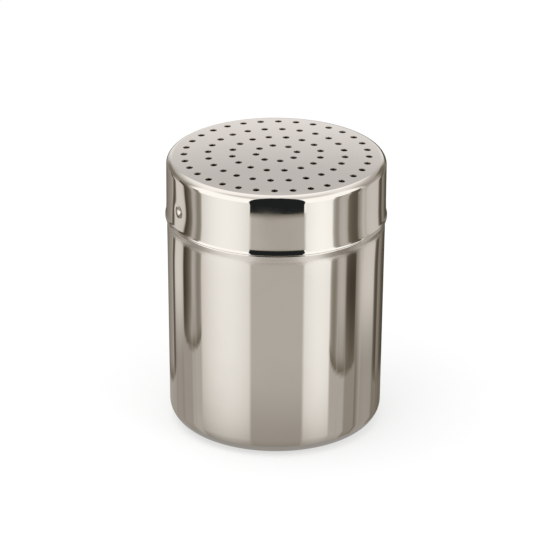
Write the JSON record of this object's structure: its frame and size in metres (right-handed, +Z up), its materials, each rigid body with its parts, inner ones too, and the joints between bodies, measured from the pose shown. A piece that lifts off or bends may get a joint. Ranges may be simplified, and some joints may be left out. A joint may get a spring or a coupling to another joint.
{
  "type": "spice shaker",
  "caption": "Round polished steel spice shaker: a deep-drawn cup with a rounded base and a slightly domed, perforated bayonet lid that lifts off.",
  "frame": {"origin": "middle of the cup's standing ring, on the surface it stands on", "axes": "+Z up along the shaker's axis; -Y towards the viewer of the picture, +X to the viewer's right"},
  "size_m": [0.0708, 0.0708, 0.0908],
  "materials": {
    "cup_steel": "mirror-polished stainless steel sheet outside, satin inside",
    "lid_steel": "mirror-polished stainless steel sheet outside, satin inside"
  },
  "bodies": {
    "cup": {"cup": "cup_steel"},
    "lid": {"lid": "lid_steel"}
  },
  "joints": [
    {"name": "lid_lift", "type": "slide", "parent": "cup", "child": "lid", "axis": [0, 0, 1], "range_m": [0, 0.03]}
  ]
}
